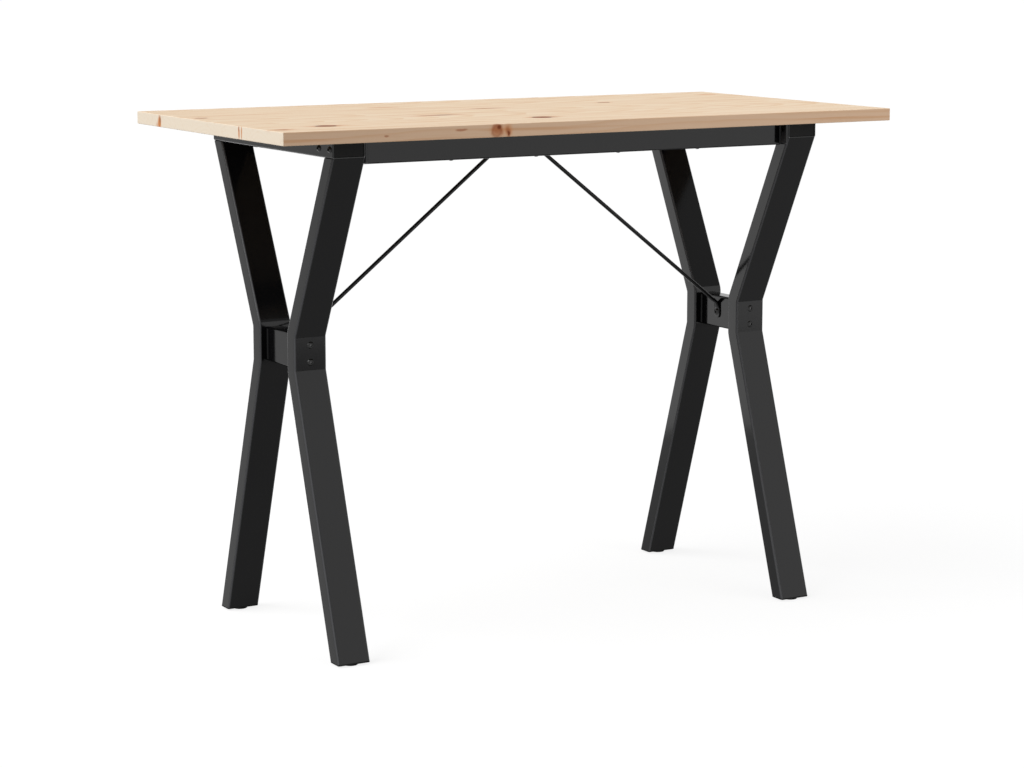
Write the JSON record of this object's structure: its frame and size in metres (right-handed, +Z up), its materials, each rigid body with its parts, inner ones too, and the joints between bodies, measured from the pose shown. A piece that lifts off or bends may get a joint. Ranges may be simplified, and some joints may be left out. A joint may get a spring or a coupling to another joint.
{
  "type": "dining table",
  "caption": "Rectangular pine top on a black steel tube frame with crossed, waisted end legs, tie rods to mid span and screw-in levelling feet.",
  "frame": {"origin": "on the floor under the middle of the top", "axes": "+X along the table, -Y the front, +Z up"},
  "size_m": [1, 0.5, 0.75],
  "materials": {
    "pine": "clear matt lacquer",
    "black_powder_coat": "smooth semi-gloss",
    "black_bolt_steel": "black oxide",
    "zinc_steel": "zinc plated",
    "black_plastic": "moulded, fine texture"
  },
  "bodies": {
    "frame": {"top_board_1": "pine", "top_board_2": "pine", "top_board_3": "pine", "top_board_4": "pine", "top_board_5": "pine", "left_end_rail": "black_powder_coat", "left_waist_connector": "black_powder_coat", "left_connector_plates": "black_powder_coat", "left_tie_rod": "black_powder_coat", "left_waist_bolts": "black_bolt_steel", "left_rail_bolts": "black_bolt_steel", "left_rod_bolts": "black_bolt_steel", "left_waist_nuts": "black_bolt_steel", "left_rod_nuts": "black_bolt_steel", "right_end_rail": "black_powder_coat", "right_waist_connector": "black_powder_coat", "right_connector_plates": "black_powder_coat", "right_tie_rod": "black_powder_coat", "right_waist_bolts": "black_bolt_steel", "right_rail_bolts": "black_bolt_steel", "right_rod_bolts": "black_bolt_steel", "right_waist_nuts": "black_bolt_steel", "right_rod_nuts": "black_bolt_steel", "left_front_leg": "black_powder_coat", "left_front_end_rail_cap": "black_plastic", "left_front_foot_plug": "black_plastic", "left_back_leg": "black_powder_coat", "left_back_end_rail_cap": "black_plastic", "left_back_foot_plug": "black_plastic", "right_front_leg": "black_powder_coat", "right_front_end_rail_cap": "black_plastic", "right_front_foot_plug": "black_plastic", "right_back_leg": "black_powder_coat", "right_back_end_rail_cap": "black_plastic", "right_back_foot_plug": "black_plastic", "front_long_rail": "black_powder_coat", "front_rail_flanges": "black_powder_coat", "front_top_screws": "black_bolt_steel", "back_long_rail": "black_powder_coat", "back_rail_flanges": "black_powder_coat", "back_top_screws": "black_bolt_steel", "crossbar": "black_powder_coat", "foot_bushes": "zinc_steel"},
    "left_front_foot": {"left_front_foot_pad": "black_plastic", "left_front_foot_stud": "zinc_steel"},
    "left_back_foot": {"left_back_foot_pad": "black_plastic", "left_back_foot_stud": "zinc_steel"},
    "right_front_foot": {"right_front_foot_pad": "black_plastic", "right_front_foot_stud": "zinc_steel"},
    "right_back_foot": {"right_back_foot_pad": "black_plastic", "right_back_foot_stud": "zinc_steel"}
  },
  "joints": [
    {"name": "left_front_foot_height", "type": "slide", "parent": "frame", "child": "left_front_foot", "axis": [0, 0, -1], "range_m": [0, 0.008]},
    {"name": "left_back_foot_height", "type": "slide", "parent": "frame", "child": "left_back_foot", "axis": [0, 0, -1], "range_m": [0, 0.008]},
    {"name": "right_front_foot_height", "type": "slide", "parent": "frame", "child": "right_front_foot", "axis": [0, 0, -1], "range_m": [0, 0.008]},
    {"name": "right_back_foot_height", "type": "slide", "parent": "frame", "child": "right_back_foot", "axis": [0, 0, -1], "range_m": [0, 0.008]}
  ]
}
